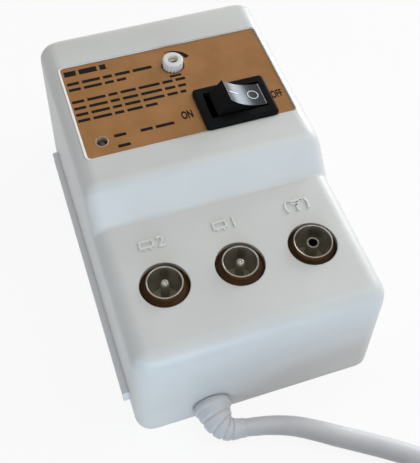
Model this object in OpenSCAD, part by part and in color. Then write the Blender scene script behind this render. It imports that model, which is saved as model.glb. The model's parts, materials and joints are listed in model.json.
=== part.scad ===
// Mains-powered aerial amplifier: one aerial input, two television outputs, in a stepped plastic case.
// Origin in the middle of the underside. +X is right seen from the cord's end, +Y is rear, +Z is up.

/* [Case] */
// Width of the cover at its foot
case_w = 69; // [66:0.5:76]
// Length of the cover at its foot
case_l = 109.5; // [105:0.5:118]
// Height of the low deck that holds the sockets
deck_h = 37.5; // [35:0.5:40]
// Height of the raised block that holds the face plate
top_h = 46; // [43:0.5:50]
// Wall of the cover
wall = 2; // [1.6:0.1:2.4]
// Draft of the outer walls, in degrees
draft = 1.5; // [0.5:0.1:2.5]
// Radius of the upright corners and of the top edges
round_r = 4.8; // [3.6:0.1:6]
// Distance from the front wall to the foot of the riser between deck and block
riser_foot = 42; // [40:0.5:45]
// Run of the riser along the case
riser_run = 7.5; // [6:0.5:10]
// Fillet at the foot of the riser
riser_fillet = 1.6; // [0.5:0.1:3]
// Thickness of the base plate
base_t = 2.5; // [2:0.1:3]
// How far the side rails stand out past the cover
rail_out = 1.7; // [1:0.1:2.5]
// Height of the side rails
rail_h = 5; // [4:0.5:7]
// Length of the side rails
rail_l = 89; // [80:1:94]
// Clearance between the cover and what fits in it
fit_gap = 0.25; // [0.15:0.05:0.4]

/* [Case screws] */
// Diameter of the cover's screw bosses
boss_d = 7.6; // [7.2:0.2:8.4]
// Shank diameter of the cover screws
screw_d = 2.9; // [2.5:0.1:3.2]
// Head diameter of the cover screws
screw_head_d = 5.4; // [5:0.1:6]
// Head height of the cover screws
screw_head_h = 1.3; // [1:0.1:1.5]
// Length of the cover screws under the head
screw_l = 14; // [10:1:18]
// Shank diameter of the small screws that hold boards and clamp
small_screw_d = 2.2; // [1.8:0.1:2.4]
// Head diameter of the small screws
small_head_d = 4; // [3.4:0.1:4.4]
// Diameter of the posts that take the small screws
post_d = 5; // [4.6:0.2:5.6]

/* [Face plate] */
// Width of the face plate's recess
plate_w = 60; // [56:0.5:61]
// Length of the face plate's recess
plate_l = 35.6; // [34:0.2:38]
// Corner radius of the recess
plate_r = 1.5; // [1:0.5:4]
// Depth of the recess
plate_recess = 0.8; // [0.6:0.1:1]
// Thickness of the face plate
plate_t = 0.4; // [0.3:0.1:0.6]
// Distance from the rear wall to the recess
plate_inset = 15.1; // [13:0.1:16]

/* [Power switch] */
// Width of the switch bezel
bezel_w = 21; // [20:0.5:22]
// Length of the switch bezel
bezel_l = 15; // [14.5:0.5:16]
// Height of the bezel above the face plate
bezel_t = 1.8; // [1.4:0.1:2.2]
// Radius of the bezel's corners
bezel_r = 1.2; // [1.2:0.1:2]
// Chamfer round the bezel's top
bezel_edge = 0.7; // [0.3:0.1:0.9]
// Width of the switch body that drops through the cover
body_w = 19; // [18.5:0.1:19.4]
// Length of the switch body
body_l = 12.9; // [12.5:0.1:13.2]
// Depth of the switch body below the bezel's top
body_h = 13; // [12.5:0.5:15]
// Distance of the switch to the right of the middle
switch_x = 14.4; // [12:0.1:15]
// Distance of the bezel's front edge from the plate's front edge
switch_inset = 0.3; // [0.2:0.1:1]
// Depth of the rocker's pivot below the bezel's top
pivot_depth = 3.6; // [3.4:0.1:4]
// Half length of the rocker at its tips
rocker_tip = 5.9; // [5.6:0.1:6.2]
// Half length of the rocker at its pivot
rocker_waist = 7.3; // [6.8:0.1:7.4]
// Height of the rocker's tips above its pivot
rocker_rise = 6.4; // [6:0.1:6.6]
// Hollow of the rocker's top
rocker_dip = 1.2; // [0.8:0.1:1.5]
// Width of the rocker across its pivot
rocker_l = 9; // [8.6:0.1:9.4]
// Width of the rocker across its tips
rocker_top_l = 7.9; // [7.6:0.1:8.4]
// Tilt of the rocker to either side, in degrees
rocker_tilt = 24; // [20:1:25]
// Tilt of the contact lever to either side, in degrees
lever_tilt = 8; // [6:1:8]
// Diameter of the rocker's pivot pins
pivot_d = 2.4; // [2:0.1:2.6]
// Radial running clearance of the pivots and the gain shaft
run_gap = 0.05; // [0.03:0.01:0.08]

/* [Gain control and lamp] */
// Distance of the gain shaft to the right of the middle
gain_x = 2.25; // [0:0.25:3]
// Distance of the gain shaft from the plate's rear edge
gain_inset = 8.1; // [7.5:0.1:10]
// Diameter of the gain shaft
gain_d = 6; // [5.5:0.1:6.2]
// Height of the gain shaft above the face plate
gain_proud = 2.6; // [2:0.1:4]
// Grooves round the gain shaft
gain_grooves = 18; // [12:1:24]
// Radial room round the gain shaft in the face plate
gain_room = 0.35; // [0.3:0.05:0.5]
// Diameter of the potentiometer
pot_d = 16; // [14:0.5:16.5]
// Height of the potentiometer
pot_h = 7; // [6:0.5:9]
// Distance of the lamp to the left of the middle
lamp_x = 24.4; // [22:0.2:26]
// Distance of the lamp from the plate's front edge
lamp_inset = 5.6; // [4:0.2:8]
// Diameter of the lamp
lamp_d = 2.8; // [2.6:0.1:3.2]

/* [Coaxial sockets] */
// Pitch of the three sockets
socket_pitch = 20; // [19:0.5:21]
// Distance of the sockets from the front wall
socket_inset = 21.3; // [20:0.1:23]
// Diameter of the holes in the deck
socket_hole_d = 13; // [12.6:0.1:14]
// Height of the socket rims above the deck
rim_proud = 1.3; // [0.8:0.1:2]
// Length of the socket shells
shell_h = 15.8; // [15:0.2:17]
// Outside diameter of an output shell
out_shell_d = 9.52; // [9.4:0.02:9.6]
// Wall of an output shell
out_shell_t = 0.4; // [0.35:0.05:0.6]
// Inside diameter of the input shell
in_shell_d = 9.58; // [9.54:0.02:9.7]
// Wall of the input shell
in_shell_t = 0.36; // [0.3:0.02:0.5]
// Diameter of the output centre pins
out_pin_d = 2.34; // [2.3:0.02:2.4]
// Outside diameter of the input centre tube
in_tube_d = 3.3; // [3.2:0.1:3.6]
// Bore of the input centre tube
in_tube_bore = 2.4; // [2.38:0.02:2.5]
// Height of the output pins above the socket rims
pin_proud = 0.2; // [-0.5:0.1:0.5]
// Diameter of the dimple in the output pins' tips
pin_dimple_d = 1.2; // [0.8:0.1:1.4]
// Depth of the open cup in a socket
cup_depth = 10; // [9:0.5:11]

/* [Inside] */
// Thickness of the circuit boards
board_t = 1.6; // [1.2:0.1:1.6]
// Height of the power board above the base plate
power_gap = 2.5; // [2:0.5:4]
// Depth of the screening can under the socket board
can_h = 9; // [7:0.5:9.5]
// Sheet of the screening can
can_t = 0.5; // [0.4:0.1:0.8]
// Stack of the transformer core
core_stack = 9.5; // [8:0.5:10]
// Width of the core's outer legs and yokes
core_leg = 4; // [3.5:0.1:4.2]
// Width of the core's windows
core_window = 6; // [5.5:0.1:6.5]
// Height of the core's windows
core_window_h = 10; // [9:0.5:11]

/* [Mains lead] */
// Diameter of the mains lead
cord_d = 5.8; // [5.4:0.1:6]
// Distance of the lead's inlet to the left of the middle
inlet_x = 14.2; // [12:0.2:16]
// Height of the lead's inlet
inlet_z = 5.4; // [5.3:0.1:6]
// Diameter of the strain relief's collar
collar_d = 10.4; // [9.8:0.1:10.6]
// Diameter of the strain relief's neck in the front wall
neck_d = 7.6; // [7:0.1:8]
// Ribs of the strain relief
relief_ribs = 4; // [3:1:5]
// Width of the plug's body
plug_w = 35; // [33:0.5:36]
// Thickness of the plug's body
plug_t = 13.7; // [13:0.1:14]
// Pin diameter of the plug
plug_pin_d = 4; // [3.9:0.1:4.2]
// Pin spacing of the plug
plug_pitch = 18.6; // [18:0.1:19.2]
// Pin length of the plug
plug_pin_l = 19; // [18:0.5:20]

/* [Hidden] */
$fn = 48;
eps = 0.01;

front_y = -case_l / 2;
rear_y = case_l / 2;
lean = tan(draft);
arc_steps = 6;
riser_y = front_y + riser_foot;
riser_a = atan2(top_h - deck_h, riser_run);

in_x = case_w / 2 - wall;
in_y = case_l / 2 - wall;
head_room = 0.2;
boss_x = in_x - fit_gap - screw_head_d / 2 - head_room - 0.3;
boss_y = in_y - fit_gap - screw_head_d / 2 - head_room - 0.3;
rail_seam = 0.5;
rail_in = 2;
head_gap = 0.2;
boss_front = boss_d / 2 - boss_y;

plate_mid_y = rear_y - plate_inset - plate_l / 2;
plate_front = plate_mid_y - plate_l / 2;
plate_rear = plate_mid_y + plate_l / 2;
plate_top = top_h - plate_recess + plate_t;

switch_y = plate_front + switch_inset + bezel_l / 2;
switch_top = plate_top + bezel_t;
pivot_z = switch_top - pivot_depth;
well_w = 2 * (rocker_tip * cos(rocker_tilt) + rocker_rise * sin(rocker_tilt)) + 0.5;
well_l = rocker_l + 0.5;
well_floor = pivot_depth - body_h + 1.5;
rocker_foot = -1.5;
stem_d = 3.4;
plunger_d = 2;
plunger_tip = -5;
lever_t = 0.6;
lever_z = plunger_tip - 0.3 - lever_t / 2;
lever_l = 11;
lever_w = 4;
lever_pin_d = 1;
blade_t = 0.8;
blade_w = 4.8;
blade_l = 6.5;
contact_x = 5.2;

gain_y = plate_rear - gain_inset;
gain_edge = 0.4;
cup_d = 3.2;
cup_h = 1.4;
lamp_y = plate_front + lamp_inset;
lamp_h = 5;
lamp_top = plate_top - 0.3;

socket_y = front_y + socket_inset;
board_top = deck_h + rim_proud - shell_h;
board_z = board_top - board_t;
flange_d = 12.4;
flange_t = 2;
in_pin_seat = shell_h - cup_depth;
tail_d = 1;

board_x = in_x - 3;
board_front = boss_front + 0.5;
board_step = riser_y + 8.5;
tongue_x = gain_x + pot_d / 2 + 0.5;
tongue_rear = gain_y + pot_d / 2 + 0.5;
post_x = board_x - 3;
board_posts = [
  [-post_x, socket_y - 9.5], [post_x, socket_y - 9.5], [post_x, board_step - 4], [-post_x, tongue_rear - 4.5]
];

post_inset = 3.5;
post_mid_x = -0.5;
power_z = base_t + power_gap;
power_top = power_z + board_t;
power_front = board_step + 5.5;
power_rear = boss_y - boss_d / 2 - 0.8;
board_bite = 5;
power_bite = 3;
clamp_bite = 4;
power_posts = [
  [-post_x, power_front + post_inset], [post_x, power_front + post_inset], [-post_x, power_rear - post_inset],
  [post_mid_x, power_rear - post_inset]
];

core_l = 4 * core_leg + 2 * core_window;
core_h = 2 * core_leg + core_window_h;
part_gap = 0.3;
core_x = post_x - small_head_d / 2 - part_gap - core_stack / 2;
core_y = power_rear - 1 - core_l / 2;
winding_t = 3.2;
bobbin_t = 1;
bobbin_gap = 0.2;
bobbin_x = core_stack / 2 + bobbin_gap + bobbin_t;
bobbin_y = core_leg + bobbin_gap + bobbin_t;
flange_x = core_stack / 2 + winding_t;
flange_y = core_leg + core_window - part_gap;

transistor_d = 4.7;
transistor_h = 4.6;
transistor_flat = 1.6;
transistor_x = 9;
transistor_y = socket_y + 15.5;
splitter_w = 10;
splitter_l = 7;
splitter_bore = 3;
splitter_bore_x = 2.4;
splitter_y = socket_y + 20;
disc_d = 5;
disc_t = 1.6;
disc_foot = 1.2;
disc_x = 15;
disc_pitch = 5;
disc_y = socket_y + 16.5;
under_room = 1.8;
diode_d = 2.7;
diode_l = 5.2;
diode_span = 6.8;
diode_wire_d = 0.8;
diode_pitch = 4.5;
diode_x = 18;
diode_y = power_front + 6;
can_y = power_front + 20;
tall_h = board_z - under_room - power_top;
can_d = 10;
can_x = 8;
can_bead = 0.4;
tab_t = 1.3;
tab_hole_d = 3.4;
tab_edge = 0.8;
regulator_w = 10;
regulator_t = 4.6;
regulator_h = tall_h - tab_hole_d - 2 * tab_edge;
regulator_x = 20;
regulator_y = power_front + 13.5;
fuse_l = 20;
fuse_d = 4.6;
fuse_cap_d = 5.2;
fuse_cap_l = 5;
fuse_lift = 4.2;
holder_w = 8;
holder_h = 5;
holder_wall = 2;
holder_l = fuse_l + 2 * holder_wall;
fuse_x = core_x - flange_x - holder_w / 2 - 2 * part_gap;
fuse_y = power_front + 2 * holder_wall + holder_l / 2;

inlet = [-inlet_x, front_y, inlet_z];
relief_in = front_y + wall + 4;
block_front = board_step - 7;
block_l = 10;
block_w = 16;
block_h = 8.5;
pole_x = 4;
pole_z = 4.5;
pole_bore = 3.2;
pole_screw_z = 6;
wire_d = 1.8;
wire_drop = 3;
wire_rise = 9;
wire_end = 2;
wire_side = 1;
wire_back = 4;
wire_low = 7;
neutral_back = 3.5;
clamp_y = block_front - 5;
clamp_w = 6;
clamp_reach = 7.5;
clamp_t = 2;
clamp_end = 3;
lead_top = inlet_z + cord_d / 2;

// Route of the free lead from the strain relief to the coil, and from the coil to the plug.
coil_mid = [14, -131];
coil_r = 39;
coil_start_a = 20;
coil_end_a = 45;
coil_layers = 4;
coil_turns = 6 - (coil_end_a - coil_start_a) / 360;
coil_pitch = cord_d + 0.6;
coil_lift = 1.4;
coil_rings = 24;
coil_sides = 6;
coil_z = coil_lift + cord_d / 2;
layer_turns = coil_turns / coil_layers;
cord_sides = 10;
cord_start = [-7.5, -63.5, 4.1];
cord_points = [
  cord_start, [-4.5, -64, 3.8], [-1, -64.7, 3.4], [3, -65.9, 3.1], [7, -67.7, 3], [11, -70.1, 3],
  [15, -72.7, 3], [20, -75.9, 3], [27, -80.5, 3], [33, -84.9, 3], [38.5, -90.2, 3.3], [42.8, -97, 3.9],
  coil_head(-2), coil_head(-1)
];
plug_entry = [26, -155, 33.3];
lead_points = [
  coil_tail(1), coil_tail(2), [55.8, -120.3, 25], [57.7, -129.9, 27], [55.8, -139.5, 29.2],
  [50.4, -147.6, 31.2], [42.3, -153.1, 32.7], [32.7, -155, 33.3], plug_entry
];
boot_end = 1;
boot_head = unit(cord_points[1] - cord_start);
boot_steps = 28;
boot_t = 0.3;
rib_share = 0.7;
rib_depth = 0.4;
plug_sleeve = 12;
plug_l = 34;
plug_face = plug_entry[0] - plug_sleeve - plug_l;
tie_a = 120;
tie_t = 1;
tie_w = 5;

// Least room between the coil's own turns, measured on its points and printed.
coil_points = coil_path();
coil_skip = 12;
coil_gap = min([
  for (i = [0 : len(coil_points) - 1])
    for (j = [i + coil_skip : 1 : len(coil_points) - 1])
      norm(coil_points[i] - coil_points[j])
]) - cord_d;
echo(least_coil_gap = coil_gap);

function unit(v) = v / norm(v);

// One turn of the coil is 1 in t; the spiral runs in and out again, one layer at a time.
function coil_layer(t) = min(coil_layers - 1, floor(t / layer_turns));
function coil_radius(t) =
  let (k = coil_layer(t), u = t - k * layer_turns)
  coil_r - coil_pitch * (k % 2 == 0 ? u : layer_turns - u);
function coil_height(t) =
  coil_z + coil_pitch * sum_to([for (k = [1 : coil_layers - 1]) climb(t, k)]);
function climb(t, k) = min(1, max(0, 2 * (t - k * layer_turns) + 0.5));
function sum_to(v, i = 0) = i >= len(v) ? 0 : v[i] + sum_to(v, i + 1);
function coil_at(t) =
  let (a = coil_start_a - 360 * t, r = coil_radius(t))
  [coil_mid[0] + r * cos(a), coil_mid[1] + r * sin(a), coil_height(t)];
function coil_heading(a) = [sin(a), -cos(a), 0];
// Points on the straight ends, counted in cord diameters along the heading.
function coil_head(n) = coil_at(0) + n * cord_d * coil_heading(coil_start_a);
function coil_tail(n) = coil_at(coil_turns) + n * cord_d * coil_heading(coil_end_a);
function coil_path() =
  let (steps = round(coil_turns * coil_rings))
  concat([coil_head(-1)], [for (i = [0 : steps]) coil_at(coil_turns * i / steps)], [coil_tail(1)]);

// Frames carried along a path without twist, for swept tubes.
function path_dir(p, i) =
  unit(p[min(i + 1, len(p) - 1)] - p[max(i - 1, 0)]);
function side_of(d, s) = unit(s - (s * d) * d);
function path_sides(p, s) =
  [for (i = 0, u = side_of(path_dir(p, 0), s); i < len(p); i = i + 1,
    u = i < len(p) ? side_of(path_dir(p, i), u) : u) u];

// Closed tube along the points p, with one radius per point in r.
module swept_tube(p, r, sides, first_side = [0, 0, 1]) {
  u = path_sides(p, first_side);
  last = len(p) - 1;
  rings = [
    for (i = [0 : last])
      let (v = cross(path_dir(p, i), u[i]))
      for (k = [0 : sides - 1]) p[i] + r[i] * (cos(360 * k / sides) * u[i] + sin(360 * k / sides) * v)
  ];
  walls = [
    for (i = [0 : last - 1])
      for (k = [0 : sides - 1])
        let (a = i * sides + k, b = i * sides + (k + 1) % sides)
        each [[a, b + sides, b], [a, a + sides, b + sides]]
  ];
  caps = [
    for (k = [1 : sides - 2])
      each [[0, k, k + 1], [last * sides, last * sides + k + 1, last * sides + k]]
  ];
  polyhedron(rings, concat(walls, caps));
}

module round_tube(p, d, sides, first_side = [0, 0, 1]) {
  swept_tube(p, [for (q = p) d / 2], sides, first_side);
}

module round_box(w, l, h, r) {
  linear_extrude(h) {
    square([w - 2 * r, l], center = true);
    square([w, l - 2 * r], center = true);
    for (x = [-1, 1])
      for (y = [-1, 1])
        translate([x * (w / 2 - r), y * (l / 2 - r)]) circle(r);
  }
}

module box(x, y, z) {
  translate([x[0], y[0], z[0]]) cube([x[1] - x[0], y[1] - y[0], z[1] - z[0]]);
}

module along_y(x, z, y0, y1, d) {
  translate([x, y0, z]) rotate([-90, 0, 0]) cylinder(h = y1 - y0, d = d);
}

// Stations along Y of the case's shape, each with its place, half width, height and end lean.
function end_station(a, s, h, inset) =
  let (r = round_r - inset)
  [s * (case_l / 2 - inset - r * (1 - cos(a))), case_w / 2 - inset - r * (1 - sin(a)),
    h - inset - r * (1 - sin(a)), -s];
function arc_station(c, r, a, inset) = [c[0] + r * cos(a), case_w / 2 - inset, c[1] + r * sin(a), 0];
function case_stations(inset) =
  let (
    slip = inset * tan(riser_a / 2),
    foot_r = riser_fillet + inset,
    edge_r = round_r - inset,
    foot_c = [riser_y + slip - foot_r * tan(riser_a / 2), deck_h - inset + foot_r],
    edge_c = [riser_y + riser_run + slip + edge_r * tan(riser_a / 2), top_h - inset - edge_r]
  )
  concat(
    [for (i = [0 : arc_steps]) end_station(90 * i / arc_steps, -1, deck_h, inset)],
    [for (i = [0 : arc_steps]) arc_station(foot_c, foot_r, -90 + riser_a * i / arc_steps, inset)],
    [for (i = [0 : arc_steps]) arc_station(edge_c, edge_r, 90 + riser_a * (1 - i / arc_steps), inset)],
    [for (i = [arc_steps : -1 : 0]) end_station(90 * i / arc_steps, 1, top_h, inset)]
  );
function section(s, r, z0) =
  let (zc = s[2] - r, xc = s[1] - zc * lean - r)
  [for (q = concat(
      [[-s[1] + z0 * lean, z0]],
      [for (i = [0 : arc_steps]) let (a = 180 - 90 * i / arc_steps) [-xc + r * cos(a), zc + r * sin(a)]],
      [for (i = [0 : arc_steps]) let (a = 90 - 90 * i / arc_steps) [xc + r * cos(a), zc + r * sin(a)]],
      [[s[1] - z0 * lean, z0]]
    )) [q[0], s[0] + s[3] * q[1] * lean, q[1]]];

// Solid of the stepped case, drawn in by inset and starting at height z0.
module case_form(inset, z0) {
  stations = case_stations(inset);
  n = 2 * arc_steps + 4;
  last = len(stations) - 1;
  points = [for (s = stations) each section(s, round_r - inset, z0)];
  skins = [
    for (i = [0 : last - 1])
      for (k = [0 : n - 1])
        let (a = i * n + k, b = i * n + (k + 1) % n)
        each [[a, b + n, b], [a, a + n, b + n]]
  ];
  caps = [for (k = [1 : n - 2]) each [[0, k, k + 1], [last * n, last * n + k + 1, last * n + k]]];
  polyhedron(points, concat(skins, caps));
}

module at_bosses() {
  for (x = [-boss_x, boss_x])
    for (y = [-boss_y, boss_y])
      translate([x, y, 0]) children();
}

module top_cover() {
  color("gainsboro") difference() {
    union() {
      difference() {
        case_form(0, 0);
        case_form(wall, -1);
      }
      for (x = [-boss_x, boss_x])
        for (s = [-1, 1])
          translate([x, s * boss_y, base_t])
            cylinder(h = (s < 0 ? deck_h : top_h) - round_r - base_t, d = boss_d);
    }
    at_bosses() translate([0, 0, base_t - 1]) cylinder(h = screw_l + 1, d = screw_d + 2 * run_gap);
    for (i = [-1 : 1])
      translate([i * socket_pitch, socket_y, deck_h - 2 * wall]) cylinder(h = 3 * wall, d = socket_hole_d);
    translate([0, plate_mid_y, top_h - plate_recess]) round_box(plate_w, plate_l, 2, plate_r);
    translate([switch_x, switch_y, switch_top])
      cube([body_w + 2 * fit_gap, body_l + 2 * fit_gap, 2 * body_h], center = true);
    translate([gain_x, gain_y, top_h - 2 * wall]) cylinder(h = 3 * wall, d = gain_d + 4 * gain_room);
    translate([-lamp_x, lamp_y, top_h - 2 * wall]) cylinder(h = 3 * wall, d = lamp_d + fit_gap);
    along_y(-inlet_x, inlet_z, front_y - 1, front_y + 2 * wall, neck_d + fit_gap);
    box([-inlet_x - neck_d / 2 - fit_gap / 2, -inlet_x + neck_d / 2 + fit_gap / 2],
      [front_y - 1, front_y + 2 * wall], [-1, inlet_z]);
    for (s = [-1, 1])
      translate([s * case_w / 2, 0, 0])
        cube([2 * (wall + rail_in + fit_gap), rail_l + 2 * fit_gap, 2 * (rail_h + rail_seam)], center = true);
  }
}

module base_plate() {
  color("silver") difference() {
    union() {
      round_box(2 * (in_x - fit_gap), 2 * (in_y - fit_gap), base_t, round_r - wall);
      for (s = [-1, 1])
        translate([s * (case_w / 2 + (rail_out - wall - rail_in) / 2), 0, rail_h / 2])
          cube([wall + rail_out + rail_in, rail_l, rail_h], center = true);
      for (p = board_posts)
        translate(p) cylinder(h = board_z, d = post_d);
      for (p = power_posts)
        translate(p) cylinder(h = power_z, d = post_d);
      for (s = [-1, 1])
        translate([-inlet_x + s * clamp_reach, clamp_y, 0]) cylinder(h = lead_top, d = post_d);
    }
    at_bosses() {
      translate([0, 0, -1]) cylinder(h = base_t + 2, d = screw_d + 0.5);
      translate([0, 0, -1]) cylinder(h = 1 + screw_head_h + head_gap, d = screw_head_d + 2 * head_room);
    }
    box([-inlet_x - collar_d / 2 - fit_gap, -inlet_x + collar_d / 2 + fit_gap],
      [front_y, relief_in + fit_gap], [-1, base_t + 1]);
    along_y(-inlet_x, inlet_z, relief_in, block_front, cord_d + 2 * fit_gap);
    for (p = board_posts)
      translate([p[0], p[1], board_z - 7]) cylinder(h = 8, d = small_screw_d + 2 * run_gap);
    for (p = power_posts)
      translate([p[0], p[1], power_z - 4]) cylinder(h = 5, d = small_screw_d + 2 * run_gap);
    for (s = [-1, 1])
      translate([-inlet_x + s * clamp_reach, clamp_y, lead_top - 5])
        cylinder(h = 6, d = small_screw_d + 2 * run_gap);
  }
}

// Pan-head screw with a cross recess, head up at z = 0 and shank down.
module pan_screw(d, l, head_d, head_h) {
  difference() {
    union() {
      translate([0, 0, -l]) cylinder(h = l + eps, d = d);
      cylinder(h = head_h, d = head_d);
    }
    for (a = [0, 90])
      rotate(a) translate([0, 0, head_h]) cube([head_d * 0.55, 0.7, head_h], center = true);
  }
}

module cover_screws() {
  color("darkgray") at_bosses()
    translate([0, 0, screw_head_h + head_gap]) rotate([180, 0, 0])
      pan_screw(screw_d, screw_l, screw_head_d, screw_head_h);
}

module face_plate() {
  color("peru") difference() {
    translate([0, plate_mid_y, top_h - plate_recess])
      round_box(plate_w - 2 * fit_gap, plate_l - 2 * fit_gap, plate_t, plate_r - fit_gap);
    translate([switch_x, switch_y, top_h])
      cube([body_w + 2 * fit_gap, body_l + 2 * fit_gap, 3 * wall], center = true);
    translate([gain_x, gain_y, top_h - wall]) cylinder(h = 2 * wall, d = gain_d + 2 * gain_room);
    translate([-lamp_x, lamp_y, top_h - wall]) cylinder(h = 2 * wall, d = lamp_d + fit_gap);
  }
}

module at_pivot() {
  translate([switch_x, switch_y, pivot_z]) children();
}

module switch_housing() {
  color("black") at_pivot() difference() {
    union() {
      translate([0, 0, pivot_depth - bezel_t]) hull() {
        round_box(bezel_w, bezel_l, bezel_t - bezel_edge, bezel_r);
        round_box(bezel_w - 2 * bezel_edge, bezel_l - 2 * bezel_edge, bezel_t, bezel_r - bezel_edge);
      }
      translate([0, 0, pivot_depth - body_h / 2]) cube([body_w, body_l, body_h - eps], center = true);
    }
    translate([0, 0, well_floor + 10]) cube([well_w, well_l, 20], center = true);
    along_y(0, 0, -body_l, body_l, pivot_d + 2 * run_gap);
    for (x = [0, contact_x])
      translate([x, 0, well_floor]) cube([blade_t + 0.2, blade_w + 0.2, 6], center = true);
  }
}

// Side outline of the rocker about its pivot, level: hollow top, slanting ends and a flat foot.
function rocker_outline() =
  let (r = (pow(rocker_tip, 2) + pow(rocker_dip, 2)) / (2 * rocker_dip), half = asin(rocker_tip / r))
  concat(
    [for (i = [-6 : 6])
      [r * sin(half * i / 6), rocker_rise - rocker_dip + r * (1 - cos(half * i / 6))]],
    [[rocker_waist, 0.5], [rocker_waist - 1.8, rocker_foot], [1.8 - rocker_waist, rocker_foot],
      [-rocker_waist, 0.5]]
  );

module switch_rocker() {
  color("black") at_pivot() rotate([0, rocker_tilt, 0]) difference() {
    union() {
      intersection() {
        rotate([90, 0, 0]) linear_extrude(rocker_l, center = true) polygon(rocker_outline());
        hull() {
          translate([0, 0, rocker_foot]) cube([2 * rocker_waist, rocker_l, 2 * eps], center = true);
          translate([0, 0, rocker_rise]) cube([2 * rocker_waist, rocker_top_l, 2 * eps], center = true);
        }
      }
      along_y(0, 0, -body_l / 2 + 0.1, body_l / 2 - 0.1, pivot_d);
      translate([0, 0, rocker_foot - 2.1]) cylinder(h = 2.2, d = stem_d);
    }
    translate([0, 0, rocker_foot - 3]) cylinder(h = 3.6, d = plunger_d + 2 * run_gap);
  }
}

module switch_plunger() {
  color("white") at_pivot() rotate([0, rocker_tilt, 0]) {
    translate([0, 0, plunger_tip + plunger_d / 2])
      cylinder(h = rocker_foot + 0.6 - plunger_tip - plunger_d / 2, d = plunger_d);
    translate([0, 0, plunger_tip + plunger_d / 2]) sphere(d = plunger_d);
  }
}

module contact_lever() {
  color("goldenrod") at_pivot() translate([0, 0, lever_z]) rotate([0, -lever_tilt, 0]) {
    cube([lever_l, lever_w, lever_t], center = true);
    along_y(0, 0, -lever_w / 2 - 0.9, lever_w / 2 + 0.9, lever_pin_d);
  }
}

module terminal_blade(x) {
  translate([x - blade_t / 2, -blade_w / 2, pivot_depth - body_h - blade_l])
    cube([blade_t, blade_w, blade_l + body_h - pivot_depth + well_floor + 0.5]);
}

module centre_terminal() {
  cheek_in = lever_w / 2 + 0.2;
  strap_top = lever_z - 0.9;
  color("goldenrod") at_pivot() difference() {
    union() {
      terminal_blade(0);
      box([-1.5, 1.5], [-cheek_in - 0.8, cheek_in + 0.8], [well_floor, strap_top]);
      for (s = [-1, 1])
        translate([0, s * (cheek_in + 0.4), (strap_top + lever_z + 0.9) / 2 - 0.1])
          cube([3, 0.8, lever_z + 0.9 - strap_top + 0.2], center = true);
    }
    along_y(0, lever_z, -lever_w, lever_w, lever_pin_d + 2 * run_gap);
  }
}

module output_terminal() {
  pad_top = lever_z - lever_t / 2 - (contact_x + 1.3) * tan(lever_tilt) - 0.15;
  color("goldenrod") at_pivot() {
    terminal_blade(contact_x);
    box([contact_x - 1.2, contact_x + 1.2], [-2.4, 2.4], [well_floor, pad_top]);
  }
}

module gain_pot() {
  color("royalblue") translate([gain_x, gain_y, board_top]) difference() {
    cylinder(h = pot_h, d = pot_d);
    translate([0, 0, 1]) cylinder(h = pot_h, d = gain_d - 1 + 2 * run_gap);
  }
}

module gain_shaft() {
  shaft_z = board_top + pot_h + 0.2;
  shaft_top = plate_top + gain_proud;
  color("white") translate([gain_x, gain_y, 0]) difference() {
    union() {
      translate([0, 0, board_top + 1.2]) cylinder(h = pot_h, d = gain_d - 1);
      translate([0, 0, shaft_z]) cylinder(h = shaft_top - gain_edge - shaft_z, d = gain_d);
      translate([0, 0, shaft_top - gain_edge])
        cylinder(h = gain_edge, d1 = gain_d, d2 = gain_d - 2 * gain_edge);
    }
    for (i = [0 : gain_grooves - 1])
      rotate(360 * i / gain_grooves)
        translate([gain_d / 2 + 0.15, 0, plate_top - 0.5]) cylinder(h = 20, d = 0.7);
    translate([0, 0, shaft_top - cup_h]) cylinder(h = cup_h + eps, d1 = cup_d - 1, d2 = cup_d);
    translate([0, 0, shaft_top - cup_h]) cube([cup_d - 1, 0.9, 1.6], center = true);
  }
}

module power_lamp() {
  color("darkred") translate([-lamp_x, lamp_y, lamp_top - lamp_h]) {
    cylinder(h = lamp_h - lamp_d / 2, d = lamp_d);
    translate([0, 0, lamp_h - lamp_d / 2]) sphere(d = lamp_d);
    cylinder(h = 0.8, d = lamp_d + 0.8);
  }
}

module lamp_leads() {
  color("silver") for (s = [-1, 1])
    translate([-lamp_x + s * 0.8, lamp_y, board_top]) cylinder(h = lamp_top - lamp_h - board_top, d = 0.5);
}

module socket_at(i) {
  translate([i * socket_pitch, socket_y, board_top]) children();
}

// Shell of a socket: a tube on a round flange, open above and below.
module socket_shell(inner_d, t) {
  difference() {
    union() {
      cylinder(h = shell_h, d = inner_d + 2 * t);
      cylinder(h = flange_t, d = flange_d);
    }
    translate([0, 0, -1]) cylinder(h = shell_h + 2, d = inner_d);
  }
}

module socket_insulator(shell_d, pin_d) {
  difference() {
    cylinder(h = in_pin_seat, d = shell_d - 2 * run_gap);
    translate([0, 0, -1]) cylinder(h = in_pin_seat + 2, d = pin_d + 2 * run_gap);
  }
}

module solder_tail() {
  translate([0, 0, -board_t - 1.4]) cylinder(h = board_t + 1.5, d = tail_d);
}

module output_pin() {
  pin_h = shell_h + pin_proud - out_pin_d / 2;
  difference() {
    union() {
      cylinder(h = pin_h, d = out_pin_d);
      translate([0, 0, pin_h]) sphere(d = out_pin_d);
    }
    translate([0, 0, pin_h + out_pin_d / 2]) sphere(d = pin_dimple_d);
  }
  solder_tail();
}

module tv2_shell() {
  color("silver") socket_at(-1) socket_shell(out_shell_d - 2 * out_shell_t, out_shell_t);
}

module tv2_insulator() {
  color("dimgray") socket_at(-1) socket_insulator(out_shell_d - 2 * out_shell_t, out_pin_d);
}

module tv2_pin() {
  color("silver") socket_at(-1) output_pin();
}

module tv1_shell() {
  color("silver") socket_at(0) socket_shell(out_shell_d - 2 * out_shell_t, out_shell_t);
}

module tv1_insulator() {
  color("dimgray") socket_at(0) socket_insulator(out_shell_d - 2 * out_shell_t, out_pin_d);
}

module tv1_pin() {
  color("silver") socket_at(0) output_pin();
}

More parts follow.
